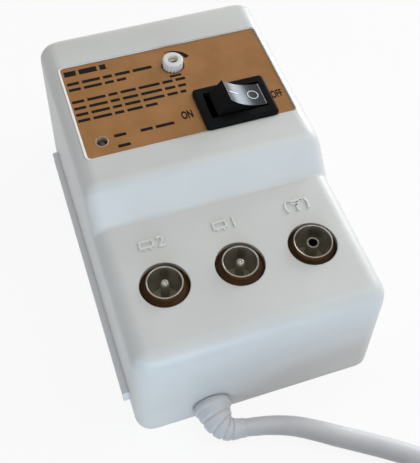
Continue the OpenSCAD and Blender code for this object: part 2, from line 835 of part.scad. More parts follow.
module aerial_shell() {
  color("silver") socket_at(1) socket_shell(in_shell_d, in_shell_t);
}

module aerial_insulator() {
  color("dimgray") socket_at(1) socket_insulator(in_shell_d, in_tube_d);
}

module aerial_contact() {
  color("silver") socket_at(1) {
    difference() {
      cylinder(h = shell_h - 0.7, d = in_tube_d);
      translate([0, 0, in_pin_seat]) cylinder(h = shell_h, d = in_tube_bore);
    }
    solder_tail();
  }
}

module socket_board() {
  color("saddlebrown") difference() {
    union() {
      box([-board_x, board_x], [board_front, board_step], [board_z, board_top]);
      box([-board_x, tongue_x], [board_step - 1, tongue_rear], [board_z, board_top]);
    }
    for (i = [-1 : 1])
      translate([i * socket_pitch, socket_y, board_z - 1]) cylinder(h = board_t + 2, d = tail_d + 0.2);
    for (p = board_posts)
      translate([p[0], p[1], board_z - 1]) cylinder(h = board_t + 2, d = small_screw_d + 0.3);
  }
}

module small_screw(l) {
  pan_screw(small_screw_d, l, small_head_d, 1.4);
}

module board_screws() {
  color("silver") for (p = board_posts)
    translate([p[0], p[1], board_top]) small_screw(board_t + board_bite);
}

module screening_can() {
  x = post_x - post_d / 2 - 0.4;
  y = 11.5;
  color("silver") translate([0, socket_y, board_z - can_h]) difference() {
    box([-x, x], [-y, y], [0, can_h]);
    box([can_t - x, x - can_t], [can_t - y, y - can_t], [can_t, can_h + 1]);
  }
}

module rf_transistors() {
  color("black") for (x = [-transistor_x, transistor_x])
    translate([x, transistor_y, board_top]) difference() {
      cylinder(h = transistor_h, d = transistor_d);
      translate([-transistor_d, -transistor_flat - transistor_d, -1])
        cube([2 * transistor_d, transistor_d, transistor_h + 2]);
    }
}

module splitter_core() {
  color("dimgray") translate([0, splitter_y, board_top]) difference() {
    translate([0, 0, splitter_l / 2]) cube([splitter_w, splitter_l, splitter_l], center = true);
    for (x = [-splitter_bore_x, splitter_bore_x])
      along_y(x, splitter_l / 2, -splitter_l, splitter_l, splitter_bore);
  }
}

module disc_capacitors() {
  color("chocolate") for (s = [-1, 1])
    for (i = [0, 1])
      translate([s * (disc_x + i * disc_pitch), disc_y, board_top]) {
        translate([0, 0, disc_d / 2 + disc_foot / 2]) rotate([0, 90, 0])
          cylinder(h = disc_t, d = disc_d, center = true);
        translate([0, 0, disc_foot / 2]) cube([disc_foot, disc_d * 0.6, disc_foot], center = true);
      }
}

module power_board() {
  color("saddlebrown") difference() {
    box([-board_x, board_x], [power_front, power_rear], [power_z, power_top]);
    for (p = power_posts)
      translate([p[0], p[1], power_z - 1]) cylinder(h = board_t + 2, d = small_screw_d + 0.3);
    for (p = board_posts)
      translate([p[0], p[1], power_z - 1]) cylinder(h = board_t + 2, d = post_d + 2 * fit_gap);
  }
}

module power_board_screws() {
  color("silver") for (p = power_posts)
    translate([p[0], p[1], power_top]) small_screw(board_t + power_bite);
}

module at_core() {
  translate([core_x, core_y, power_top]) children();
}

module transformer_core() {
  color("slategray") at_core() difference() {
    translate([0, 0, core_h / 2]) cube([core_stack, core_l, core_h], center = true);
    for (s = [-1, 1])
      translate([0, s * (core_leg + core_window / 2), core_h / 2])
        cube([core_stack + 2, core_window, core_window_h], center = true);
  }
}

module transformer_bobbin() {
  h = core_window_h - 2 * bobbin_gap;
  color("ivory") at_core() translate([0, 0, core_leg + bobbin_gap]) difference() {
    union() {
      box([-bobbin_x, bobbin_x], [-bobbin_y, bobbin_y], [0, h]);
      for (z = [0, h - bobbin_t])
        box([-flange_x, flange_x], [-flange_y, flange_y], [z, z + bobbin_t]);
    }
    box([bobbin_t - bobbin_x, bobbin_x - bobbin_t], [bobbin_t - bobbin_y, bobbin_y - bobbin_t], [-1, h + 1]);
  }
}

module transformer_winding() {
  h = core_window_h - 2 * bobbin_gap - 2 * bobbin_t;
  color("orangered") at_core() translate([0, 0, core_leg + bobbin_gap + bobbin_t]) difference() {
    round_box(2 * flange_x - 1, 2 * flange_y - 1, h, 2);
    box([-bobbin_x, bobbin_x], [-bobbin_y, bobbin_y], [-1, h + 1]);
  }
}

module rectifier_diodes() {
  color("black") for (i = [0 : 3])
    translate([i * diode_pitch - diode_x, diode_y, power_top]) {
      along_y(0, diode_d / 2, -diode_l / 2, diode_l / 2, diode_d);
      for (s = [-1, 1])
        translate([0, s * diode_span / 2, 0]) cylinder(h = diode_d / 2, d = diode_wire_d);
      along_y(0, diode_d / 2, -diode_span / 2 - eps, diode_span / 2 + eps, diode_wire_d);
    }
}

module smoothing_capacitor() {
  color("midnightblue") translate([-can_x, can_y, power_top]) difference() {
    cylinder(h = tall_h, d = can_d);
    translate([0, 0, can_d / 5]) rotate_extrude()
      translate([can_d / 2 + can_bead / 2, 0]) circle(1.5 * can_bead);
  }
}

module voltage_regulator() {
  color("dimgray") translate([-regulator_x, regulator_y, power_top]) difference() {
    union() {
      translate([0, 0, regulator_h / 2]) cube([regulator_w, regulator_t, regulator_h], center = true);
      translate([0, (regulator_t - tab_t) / 2, tall_h / 2]) cube([regulator_w, tab_t, tall_h], center = true);
    }
    along_y(0, (regulator_h + tall_h) / 2, -regulator_t, regulator_t, tab_hole_d);
  }
}

module fuse_holder() {
  color("black") translate([fuse_x, fuse_y, power_top]) difference() {
    translate([0, 0, holder_h / 2]) cube([holder_w, holder_l, holder_h], center = true);
    along_y(0, fuse_lift, -fuse_l / 2 - part_gap, fuse_l / 2 + part_gap, fuse_cap_d + 2 * run_gap);
  }
}

module mains_fuse() {
  color("lightcyan") translate([fuse_x, fuse_y, power_top + fuse_lift]) rotate([90, 0, 0]) {
    cylinder(h = fuse_l - 2, d = fuse_d, center = true);
    for (s = [-1, 1])
      translate([0, 0, s * (fuse_l - fuse_cap_l) / 2])
        cylinder(h = fuse_cap_l, d = fuse_cap_d, center = true);
  }
}

module terminal_block() {
  color("whitesmoke") translate([-inlet_x, block_front, base_t]) difference() {
    box([-block_w / 2, block_w / 2], [0, block_l], [0, block_h]);
    for (s = [-1, 1]) {
      along_y(s * pole_x, pole_z, holder_wall, block_l + 1, pole_bore);
      translate([s * pole_x, block_l / 2, pole_z]) cylinder(h = block_h, d = pole_bore + 2 * run_gap);
    }
  }
}

module terminal_screws() {
  color("silver") for (s = [-1, 1])
    translate([-inlet_x + s * pole_x, block_front + block_l / 2, base_t + pole_screw_z]) difference() {
      cylinder(h = block_h - pole_screw_z - part_gap, d = pole_bore);
      translate([0, 0, block_h - pole_screw_z - part_gap]) cube([2 * pole_bore, 0.6, 1.2], center = true);
    }
}

module inner_lead() {
  color("gainsboro") along_y(-inlet_x, inlet_z, relief_in, block_front, cord_d);
}

module cord_clamp() {
  reach = clamp_reach + clamp_end;
  color("silver") difference() {
    box([-inlet_x - reach, -inlet_x + reach],
      [clamp_y - clamp_w / 2, clamp_y + clamp_w / 2], [lead_top, lead_top + clamp_t]);
    for (s = [-1, 1])
      translate([-inlet_x + s * clamp_reach, clamp_y, lead_top - 1])
        cylinder(h = clamp_t + 2, d = small_screw_d + 0.3);
  }
}

module clamp_screws() {
  color("silver") for (s = [-1, 1])
    translate([-inlet_x + s * clamp_reach, clamp_y, lead_top + clamp_t]) small_screw(clamp_t + clamp_bite);
}

// Where a wire leaves the terminal block, and where it meets a blade of the switch.
function pole_end(s) = [-inlet_x + s * pole_x, block_front + 3, base_t + pole_z];
function blade_end(x) = [switch_x + x, switch_y, switch_top - body_h - blade_l - wire_d / 2];

module live_wire() {
  from = pole_end(1);
  to = blade_end(0);
  path = [
    from, from + [0, block_l - wire_end, 0],
    [to[0] - 2 * wire_side, power_front + wire_back, power_top + wire_rise],
    to - [wire_side, wire_back, wire_low], to - [0, wire_end, wire_drop], to
  ];
  color("brown") round_tube(path, wire_d, 8, [1, 0, 0]);
}

module switched_wire() {
  from = blade_end(contact_x);
  to = [from[0] + wire_side, power_front + 2.5, power_top];
  path = [from, from - [0, wire_end, wire_drop], to + [0, 0, wire_rise], to + [0, 0, wire_drop], to];
  color("black") round_tube(path, wire_d, 8, [1, 0, 0]);
}

module neutral_wire() {
  from = pole_end(-1);
  to = [-inlet_x - 2 * pole_x, diode_y + wire_end, power_top];
  path = [
    from, from + [0, block_l - wire_end, 0], to + [wire_side, -neutral_back, wire_drop + wire_side],
    to + [0, 0, wire_drop + wire_side / 2], to
  ];
  color("steelblue") round_tube(path, wire_d, 8, [1, 0, 0]);
}

// Strain relief: a bush in the front wall and a ribbed boot that curves down to the lead.
function boot_point(t) =
  let (
    a = inlet + [0, -1.6, 0],
    b = cord_start - boot_end * boot_head,
    out = [0, b[1] - a[1], 0],
    on = (b[0] - a[0]) * boot_head
  )
  pow(1 - t, 3) * a + 3 * pow(1 - t, 2) * t * (a + 0.7 * out) + 3 * (1 - t) * t * t * (b - 0.7 * on)
    + t * t * t * b;
function boot_radius(t) =
  let (rib = (t * relief_ribs / rib_share) % 1, end_r = cord_d / 2 + boot_t)
  end_r + (collar_d / 2 - 0.5 - end_r) * pow(1 - t, 2) - (rib > 0.6 && t < rib_share ? rib_depth : 0);

module strain_relief() {
  path = concat([for (i = [0 : boot_steps]) boot_point(i / boot_steps)], [cord_start]);
  radii = [for (i = [0 : boot_steps]) boot_radius(i / boot_steps)];
  color("silver") {
    swept_tube(path, concat(radii, [radii[boot_steps]]), 16);
    along_y(-inlet_x, inlet_z, front_y - 2, front_y, collar_d);
    along_y(-inlet_x, inlet_z, front_y - 1, relief_in, neck_d);
    along_y(-inlet_x, inlet_z, front_y + wall + 2 * fit_gap, front_y + wall + 2.5, collar_d);
  }
}

module mains_cord() {
  color("lightgray") round_tube(cord_points, cord_d, cord_sides);
}

module cord_coil() {
  color("lightgray") round_tube(coil_points, cord_d, coil_sides);
}

module plug_lead() {
  color("lightgray") round_tube(lead_points, cord_d, cord_sides);
}

module coil_tie() {
  bundle = coil_pitch * layer_turns + cord_d;
  tall = coil_pitch * (coil_layers - 1) + cord_d;
  gap = 0.35;
  color("black") translate([coil_mid[0], coil_mid[1], coil_z - cord_d / 2])
    rotate(tie_a) translate([coil_r - coil_pitch * layer_turns / 2, 0, tall / 2]) rotate([90, 0, 0])
      difference() {
        translate([0, 0, -tie_w / 2])
          round_box(bundle + 2 * gap + 2 * tie_t, tall + 2 * gap + 2 * tie_t, tie_w, 3);
        translate([0, 0, -tie_w])
          round_box(bundle + 2 * gap, tall + 2 * gap, 2 * tie_w, 2);
      }
}

module plug_body() {
  color("lightgray") translate(plug_entry) {
    rotate([0, -90, 0]) cylinder(h = plug_sleeve + 2, d1 = cord_d + 2, d2 = plug_t - 2);
    hull() {
      translate([-plug_sleeve, 0, 0]) rotate([0, -90, 0]) cylinder(h = 1, d = plug_t - 1.5, $fn = 32);
      for (s = [-1, 1])
        for (x = [12, plug_l - 1])
          translate([-plug_sleeve - x, s * (plug_w - plug_t) / 2, 0])
            rotate([0, -90, 0]) cylinder(h = 1, d = plug_t, $fn = 32);
    }
  }
}

module plug_pins() {
  color("silver") for (s = [-1, 1])
    translate([plug_face, plug_entry[1] + s * plug_pitch / 2, plug_entry[2]]) rotate([0, -90, 0]) {
      cylinder(h = plug_pin_l - plug_pin_d / 2, d = plug_pin_d);
      translate([0, 0, plug_pin_l - plug_pin_d / 2]) sphere(d = plug_pin_d);
    }
}

top_cover();
base_plate();
cover_screws();
face_plate();
switch_housing();
switch_rocker();
switch_plunger();
contact_lever();
centre_terminal();
output_terminal();
gain_pot();
gain_shaft();
power_lamp();
lamp_leads();
tv2_shell();
tv2_insulator();
tv2_pin();
tv1_shell();
tv1_insulator();
tv1_pin();
aerial_shell();
aerial_insulator();
aerial_contact();
socket_board();
board_screws();
screening_can();
rf_transistors();
splitter_core();
disc_capacitors();
power_board();
power_board_screws();
transformer_core();
transformer_bobbin();
transformer_winding();
rectifier_diodes();
smoothing_capacitor();
voltage_regulator();
fuse_holder();
mains_fuse();
terminal_block();
terminal_screws();
inner_lead();
cord_clamp();
clamp_screws();
live_wire();
switched_wire();
neutral_wire();
strain_relief();
mains_cord();
cord_coil();
plug_lead();
coil_tie();
plug_body();
plug_pins();
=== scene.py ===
"""Dressed model of a mains-powered aerial amplifier: finishes, printed marks, strain relief and lead."""
import json
from math import cos, floor, pi, radians, sin, sqrt

import bmesh
import bpy
from mathutils import Matrix, Vector


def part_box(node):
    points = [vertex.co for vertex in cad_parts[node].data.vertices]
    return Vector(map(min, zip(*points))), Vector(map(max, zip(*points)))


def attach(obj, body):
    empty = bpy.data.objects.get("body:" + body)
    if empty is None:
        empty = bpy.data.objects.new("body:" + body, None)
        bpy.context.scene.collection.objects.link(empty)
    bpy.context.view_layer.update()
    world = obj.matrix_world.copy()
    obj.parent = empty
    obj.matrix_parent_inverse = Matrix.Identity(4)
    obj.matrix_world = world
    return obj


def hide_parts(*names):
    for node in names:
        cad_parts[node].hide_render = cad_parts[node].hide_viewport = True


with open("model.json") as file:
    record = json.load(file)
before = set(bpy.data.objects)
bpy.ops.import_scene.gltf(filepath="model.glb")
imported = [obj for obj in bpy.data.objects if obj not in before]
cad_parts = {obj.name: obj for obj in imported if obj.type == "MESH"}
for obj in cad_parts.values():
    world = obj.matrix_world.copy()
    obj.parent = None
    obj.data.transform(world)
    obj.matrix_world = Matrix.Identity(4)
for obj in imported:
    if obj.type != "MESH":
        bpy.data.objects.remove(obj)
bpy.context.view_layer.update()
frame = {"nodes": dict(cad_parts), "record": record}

# Lengths are in millimetres, unless a comment says otherwise
MM = 0.001
NODES = frame["nodes"]
SCENE = bpy.context.scene
SCENE.view_settings.view_transform = "Standard"


def mm(*v):
    """A point given in millimetres, in metres."""
    return Vector(v) * MM


# Camera at the photograph's viewing angle
EYE = mm(-44.28, -129.19, 207.42)
AIM = mm(-0.67, -12.43, 22.84)
ROLL = radians(2.224)
FOCAL_PX = 784.77
IMAGE_H_PX = 463
SENSOR = 36
CLIP_START = 10


def make_camera():
    data = bpy.data.cameras.new("camera")
    data.sensor_width = SENSOR
    data.lens = FOCAL_PX * SENSOR / IMAGE_H_PX
    data.clip_start = CLIP_START * MM
    camera = bpy.data.objects.new("camera", data)
    forward = (AIM - EYE).normalized()
    right = forward.cross(Vector((0, 0, 1))).normalized()
    up = right.cross(forward)
    side = right * cos(ROLL) + up * sin(ROLL)
    top = up * cos(ROLL) - right * sin(ROLL)
    turn = Matrix((side, top, -forward)).transposed().to_4x4()
    camera.matrix_world = Matrix.Translation(EYE) @ turn
    SCENE.collection.objects.link(camera)
    SCENE.camera = camera


make_camera()


# Mesh helpers
def add_mesh(name, verts, faces, material, body="case", smooth=True):
    """A new piece from points in metres, riding on a body."""
    mesh = bpy.data.meshes.new(name)
    mesh.from_pydata([tuple(v) for v in verts], [], faces)
    mesh.validate()
    mesh.update()
    for polygon in mesh.polygons:
        polygon.use_smooth = smooth
    mesh.materials.append(material)
    piece = bpy.data.objects.new(name, mesh)
    SCENE.collection.objects.link(piece)
    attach(piece, body)
    return piece


def join_parts(parts):
    """One list of points and faces from several."""
    verts = []
    faces = []
    for part_verts, part_faces in parts:
        start = len(verts)
        verts += part_verts
        faces += [[start + i for i in face] for face in part_faces]
    return verts, faces


def loft(rings, closed=False):
    """Skin over rings of equally many points, either closed end to end or capped at both ends.

    Each ring runs anticlockwise as seen from the next one, so that the faces look outward.
    """
    n = len(rings[0])
    count = len(rings)
    verts = [v for ring in rings for v in ring]
    faces = []
    for i in range(count if closed else count - 1):
        here = i * n
        there = (i + 1) % count * n
        for k in range(n):
            after = (k + 1) % n
            faces.append([here + k, here + after, there + after, there + k])
    if not closed:
        faces += [list(range(n))[::-1], [(count - 1) * n + k for k in range(n)]]
    return verts, faces


def prism(outline, z0, z1):
    """Closed slab over a convex outline of (x, y) points, listed anticlockwise."""
    return loft([[mm(x, y, z) for x, y in outline] for z in (z0, z1)])


def bar(x0, x1, y0, y1, z0, z1):
    return prism([(x0, y0), (x1, y0), (x1, y1), (x0, y1)], z0, z1)


def arc_band(mid, r0, r1, a0, a1, z0, z1, steps=32):
    """Closed band anticlockwise from angle a0 to a1, in degrees, with its radii at the start and end."""
    rings = []
    for i in range(steps + 1):
        t = i / steps
        a = radians(a0 + (a1 - a0) * t)
        inner = r0[0] + (r0[1] - r0[0]) * t
        outer = r1[0] + (r1[1] - r1[0]) * t
        rings.append([mm(mid[0] + r * cos(a), mid[1] + r * sin(a), z)
                      for r, z in ((inner, z0), (inner, z1), (outer, z1), (outer, z0))])
    return loft(rings)


def revolve(mid, profile, steps=48):
    """Closed ring round an upright axis, over (radius, height) points listed anticlockwise."""
    turns = [-2 * pi * i / steps for i in range(steps)]
    rings = [[mm(mid[0] + r * cos(a), mid[1] + r * sin(a), z) for r, z in profile] for a in turns]
    return loft(rings, closed=True)


def tube(places, radii, sides, first_side):
    """Closed tube along places, with one radius per place and no twist."""
    rings = []
    side = Vector(first_side)
    last = len(places) - 1
    for i, (place, r) in enumerate(zip(places, radii)):
        heading = (places[min(i + 1, last)] - places[max(i - 1, 0)]).normalized()
        side = (side - side.dot(heading) * heading).normalized()
        other = heading.cross(side)
        angles = [2 * pi * k / sides for k in range(sides)]
        rings.append([(place + r * (cos(a) * side + sin(a) * other)) * MM for a in angles])
    return loft(rings)


def round_loop(mid, half, r, z, steps=8):
    """Rounded rectangle of points round mid."""
    points = []
    for quarter, (sx, sy) in enumerate(((1, 1), (-1, 1), (-1, -1), (1, -1))):
        x = mid[0] + sx * (half[0] - r)
        y = mid[1] + sy * (half[1] - r)
        for i in range(steps + 1):
            a = pi / 2 * (quarter + i / steps)
            points.append(mm(x + r * cos(a), y + r * sin(a), z))
    return points


SAME_POINT = 0.001


def letters(words, size, mid, z0, depth, narrow, bold):
    """Closed solid letters centred on mid, narrowed along x to a share and thickened by bold."""
    curve = bpy.data.curves.new("letters", "FONT")
    curve.body = words
    curve.size = size * MM
    curve.offset = bold * MM
    curve.extrude = depth * MM / 2
    curve.align_x = "CENTER"
    curve.align_y = "CENTER"
    carrier = bpy.data.objects.new("letters", curve)
    SCENE.collection.objects.link(carrier)
    graph = bpy.context.evaluated_depsgraph_get()
    mesh = bpy.data.meshes.new_from_object(carrier.evaluated_get(graph))
    solid = bmesh.new()
    solid.from_mesh(mesh)
    bmesh.ops.remove_doubles(solid, verts=solid.verts, dist=SAME_POINT * MM)
    solid.to_mesh(mesh)
    solid.free()
    place = Matrix.Translation(mm(*mid, z0 + depth / 2)) @ Matrix.Diagonal((narrow, 1, 1, 1))
    verts = [place @ v.co for v in mesh.vertices]
    faces = [list(p.vertices) for p in mesh.polygons]
    bpy.data.objects.remove(carrier)
    bpy.data.curves.remove(curve)
    bpy.data.meshes.remove(mesh)
    return verts, faces


# Material helpers
COLOR = "Base Color"
SPECULAR = "Specular IOR Level"


def shader_of(material):
    return material.node_tree.nodes["Principled BSDF"]


def set_input(material, name, value):
    """Set a constant on the shader's own socket."""
    shader_of(material).inputs[name].default_value = value
    return material


def start_material(name, roughness, metallic=0.0):
    material = bpy.data.materials.new(name)
    material.use_nodes = True
    set_input(material, "Roughness", roughness)
    return set_input(material, "Metallic", metallic)


def noise(tree, size, detail=3.0, stretch=(1, 1, 1)):
    """Noise with features of a size, in the piece's own frame."""
    coords = tree.nodes.new("ShaderNodeTexCoord")
    mapping = tree.nodes.new("ShaderNodeMapping")
    mapping.inputs["Scale"].default_value = stretch
    texture = tree.nodes.new("ShaderNodeTexNoise")
    texture.inputs["Scale"].default_value = 1 / (size * MM)
    texture.inputs["Detail"].default_value = detail
    tree.links.new(coords.outputs["Object"], mapping.inputs["Vector"])
    tree.links.new(mapping.outputs["Vector"], texture.inputs["Vector"])
    return texture.outputs["Fac"]


# Most of a noise's values lie between these two
NOISE_LOW = 0.3
NOISE_HIGH = 0.7


def ramp(tree, source, low, high):
    """Colours from low to high over the values of a noise."""
    node = tree.nodes.new("ShaderNodeValToRGB")
    for element, position, color in zip(node.color_ramp.elements, (NOISE_LOW, NOISE_HIGH), (low, high)):
        element.position = position
        element.color = (*color, 1)
    tree.links.new(source, node.inputs["Fac"])
    return node.outputs["Color"]


def level(tree, source, start, end, low=0.0, high=1.0):
    """Numbers from low to high as the source goes from start to end."""
    node = tree.nodes.new("ShaderNodeMapRange")
    for name, value in (("From Min", start), ("From Max", end), ("To Min", low), ("To Max", high)):
        node.inputs[name].default_value = value
    tree.links.new(source, node.inputs["Value"])
    return node.outputs["Result"]


def soft_normal(tree, radius, samples):
    """Surface direction with its edges rounded over a radius."""
    node = tree.nodes.new("ShaderNodeBevel")
    node.samples = samples
    node.inputs["Radius"].default_value = radius * MM
    return node.outputs["Normal"]


def bump(tree, shader, source, depth, edge):
    """Relief of a depth, and edges rounded over a radius where edge isn't 0."""
    node = tree.nodes.new("ShaderNodeBump")
    node.inputs["Strength"].default_value = 1.0
    node.inputs["Distance"].default_value = depth * MM
    tree.links.new(source, node.inputs["Height"])
    if edge:
        tree.links.new(soft_normal(tree, edge, samples=6), node.inputs["Normal"])
    tree.links.new(node.outputs["Normal"], shader.inputs["Normal"])


def finish(name, low, high, roughness, metallic=0.0, patch=6.0, grain=0.3, depth=0.01, edge=0.0,
           stretch=(1, 1, 1)):
    """A material with patches of colour from low to high, uneven gloss and a grain."""
    material = start_material(name, sum(roughness) / 2, metallic)
    tree = material.node_tree
    shader = shader_of(material)
    tree.links.new(ramp(tree, noise(tree, patch), low, high), shader.inputs[COLOR])
    fine = noise(tree, grain, detail=2.0, stretch=stretch)
    tree.links.new(level(tree, fine, NOISE_LOW, NOISE_HIGH, *roughness), shader.inputs["Roughness"])
    bump(tree, shader, fine, depth, edge)
    return material


def mix_in(material, factor, color):
    """Lay a colour over the material's base colour where the factor is 1."""
    tree = material.node_tree
    base = shader_of(material).inputs[COLOR]
    mix = tree.nodes.new("ShaderNodeMix")
    mix.data_type = "RGBA"
    mix.inputs["B"].default_value = (*color, 1)
    tree.links.new(factor, mix.inputs["Factor"])
    tree.links.new(base.links[0].from_socket, mix.inputs["A"])
    tree.links.new(mix.outputs["Result"], base)


def openness(tree, distance, samples):
    """1 on an open face, towards 0 in a corner or hole within a distance of its walls."""
    node = tree.nodes.new("ShaderNodeAmbientOcclusion")
    node.inputs["Distance"].default_value = distance * MM
    node.samples = samples
    return node.outputs["AO"]


def case_plastic():
    """Moulded plastic with a fine grain, soft edges and painted shade in its corners."""
    material = finish("case_white", (0.70, 0.70, 0.69), (0.74, 0.74, 0.73), (0.36, 0.46), patch=18,
                      grain=0.35, depth=0.006, edge=0.45)
    tree = material.node_tree
    # Painted shade: the colour goes darker in corners and holes, where walls stand within a short distance
    corner_shade = level(tree, openness(tree, distance=1.5, samples=6), start=1, end=0)
    mix_in(material, corner_shade, (0.50, 0.48, 0.45))
    return material


def pale_nylon():
    """White nylon, with painted brown shade deep in its recess."""
    material = finish("knob_white", (0.80, 0.80, 0.78), (0.86, 0.86, 0.84), (0.3, 0.42), patch=2,
                      depth=0.004, edge=0.3)
    tree = material.node_tree
    # Painted shade: brown laid deep in the recess, where walls stand close round
    recess_shade = level(tree, openness(tree, distance=2.5, samples=8), start=0.6, end=0.25)
    mix_in(material, recess_shade, (0.40, 0.26, 0.12))
    return material


def gloss_black(name, roughness, gloss, tint):
    """Black plastic whose sheen has a strength and a tint."""
    material = finish(name, (0.004, 0.004, 0.0045), (0.007, 0.007, 0.0075), roughness, patch=4, depth=0.003,
                      edge=0.25)
    set_input(material, "Specular Tint", (*tint, 1))
    return set_input(material, SPECULAR, gloss)


def copper_plate():
    """Copper-toned satin sheet with cloudy patches and fine scratches along its length."""
    material = finish("plate_copper", (0.345, 0.168, 0.054), (0.43, 0.202, 0.078), (0.38, 0.5),
                      metallic=0.1, patch=7, grain=0.25, depth=0.004, edge=0.15, stretch=(0.08, 1, 1))
    return set_input(material, SPECULAR, 0.2)


def fuse_glass():
    material = finish("fuse_glass", (0.75, 0.82, 0.82), (0.82, 0.88, 0.88), (0.05, 0.12), patch=3,
                      grain=0.5, depth=0.002)
    return set_input(material, "Transmission Weight", 0.7)


def print_ink():
    material = finish("print_ink", (0.006, 0.005, 0.004), (0.010, 0.008, 0.006), (0.5, 0.65), patch=1.5)
    return set_input(material, SPECULAR, 0.1)


def washer_brown():
    """Dull brown fibre, cloudy from dark to reddish."""
    material = finish("washer_brown", (0.026, 0.010, 0.003), (0.066, 0.028, 0.007), (0.4, 0.55), patch=4)
    return set_input(material, SPECULAR, 0.15)


# Plated metal of the sockets, whose colour changes with the side that a face looks to: painted light and
# shade
SOCKET_PITCH = 20
SOCKET_Y = -33.45
RIM_ROUND = 0.3
SIDE_FROM = 0.3
SIDE_FULL = 0.8
METAL_SHARE = 0.8
DULL_SHARE = 0.15
WORN_SHARE = 0.75


def facing_out(tree):
    """How far a face looks away from the axis of its socket: 1 outside, -1 inside, 0 on the rim."""
    add = tree.nodes.new
    link = tree.links.new
    coords = add("ShaderNodeTexCoord")
    split = add("ShaderNodeSeparateXYZ")
    near = add("ShaderNodeMath")
    near.operation = "WRAP"
    near.inputs[1].default_value = SOCKET_PITCH * MM / 2
    near.inputs[2].default_value = -SOCKET_PITCH * MM / 2
    across = add("ShaderNodeMath")
    across.operation = "SUBTRACT"
    across.inputs[1].default_value = SOCKET_Y * MM
    radial = add("ShaderNodeCombineXYZ")
    outward = add("ShaderNodeVectorMath")
    outward.operation = "NORMALIZE"
    dot = add("ShaderNodeVectorMath")
    dot.operation = "DOT_PRODUCT"
    link(coords.outputs["Object"], split.inputs["Vector"])
    link(split.outputs["X"], near.inputs[0])
    link(split.outputs["Y"], across.inputs[0])
    link(near.outputs[0], radial.inputs["X"])
    link(across.outputs[0], radial.inputs["Y"])
    link(radial.outputs["Vector"], outward.inputs[0])
    link(outward.outputs["Vector"], dot.inputs[0])
    link(soft_normal(tree, RIM_ROUND, samples=8), dot.inputs[1])
    return dot.outputs["Value"]


def socket_metal(name, rim, inside, outside):
    """Plated metal with painted light and shade: brightest at its rim or tip, with duller painted colours
    inside and outside.
    """
    worn = tuple(WORN_SHARE * c for c in rim)
    material = finish(name, worn, rim, (0.16, 0.26), METAL_SHARE, patch=3, grain=0.2, depth=0.003,
                      edge=RIM_ROUND)
    tree = material.node_tree
    side = facing_out(tree)
    outer = level(tree, side, SIDE_FROM, SIDE_FULL)
    # Painted shade: the inside colour on faces that look inward, the outside colour on faces that look
    # outward
    mix_in(material, level(tree, side, -SIDE_FROM, -SIDE_FULL), inside)
    mix_in(material, outer, outside)
    metal = level(tree, outer, 0, 1, METAL_SHARE, DULL_SHARE)
    tree.links.new(metal, shader_of(material).inputs["Metallic"])
    return material


# Finishes of the record's material slots
MATERIALS = {
    "case_white": case_plastic(),
    # Lighter than the cover's white: painted light, so that the base's side rails look lit
    "base_white": finish("base_white", (0.84, 0.83, 0.85), (0.88, 0.87, 0.89), (0.4, 0.5), patch=18,
                         grain=0.35, depth=0.006, edge=0.3),
    "plate_copper": copper_plate(),
    "switch_black": gloss_black("switch_black", (0.4, 0.5), 0.05, (1.0, 1.0, 1.0)),
    "knob_white": pale_nylon(),
    # Socket shells: painted light and shade, a different colour on the rim, inside and outside
    "nickel": socket_metal("nickel", (0.30, 0.285, 0.255), (0.50, 0.465, 0.395), (0.12, 0.052, 0.018)),
    "lamp_red": finish("lamp_red", (0.02, 0.006, 0.005), (0.035, 0.009, 0.007), (0.15, 0.25), patch=1.2,
                       grain=0.5, depth=0.002),
    "fuse_glass": fuse_glass(),
    "insulator_dark": finish("insulator_dark", (0.29, 0.275, 0.225), (0.35, 0.335, 0.275), (0.25, 0.35)),
    "brass_contact": finish("brass_contact", (0.55, 0.40, 0.16), (0.68, 0.50, 0.22), (0.25, 0.4),
                            metallic=1.0),
    "board_brown": finish("board_brown", (0.16, 0.07, 0.025), (0.22, 0.10, 0.04), (0.45, 0.6), grain=0.15),
    "tin_plate": finish("tin_plate", (0.52, 0.52, 0.50), (0.64, 0.64, 0.62), (0.28, 0.45), metallic=1.0),
    "component_black": finish("component_black", (0.02, 0.02, 0.02), (0.035, 0.035, 0.035), (0.45, 0.6)),
    "ferrite": finish("ferrite", (0.06, 0.06, 0.065), (0.10, 0.10, 0.105), (0.55, 0.7), grain=0.12),
    "disc_brown": finish("disc_brown", (0.40, 0.15, 0.05), (0.50, 0.20, 0.07), (0.2, 0.35)),
    "core_steel": finish("core_steel", (0.22, 0.23, 0.25), (0.32, 0.33, 0.35), (0.4, 0.55), metallic=0.9,
                         stretch=(1, 0.05, 0.05)),
    "bobbin_nylon": finish("bobbin_nylon", (0.68, 0.62, 0.46), (0.75, 0.69, 0.53), (0.4, 0.5)),
    "winding_copper": finish("winding_copper", (0.42, 0.15, 0.05), (0.56, 0.22, 0.08), (0.25, 0.4),
                             metallic=0.8, stretch=(0.05, 0.05, 1)),
    "capacitor_blue": finish("capacitor_blue", (0.02, 0.03, 0.14), (0.03, 0.045, 0.19), (0.25, 0.35)),
    "wire_brown": finish("wire_brown", (0.16, 0.06, 0.02), (0.20, 0.08, 0.03), (0.4, 0.5)),
    "wire_blue": finish("wire_blue", (0.03, 0.10, 0.35), (0.05, 0.14, 0.42), (0.4, 0.5)),
    "cord_grey": finish("cord_grey", (0.66, 0.66, 0.69), (0.72, 0.72, 0.75), (0.4, 0.52), patch=9,
                        grain=0.4, depth=0.008),
    "tie_black": finish("tie_black", (0.014, 0.014, 0.014), (0.024, 0.024, 0.024), (0.35, 0.5)),
}

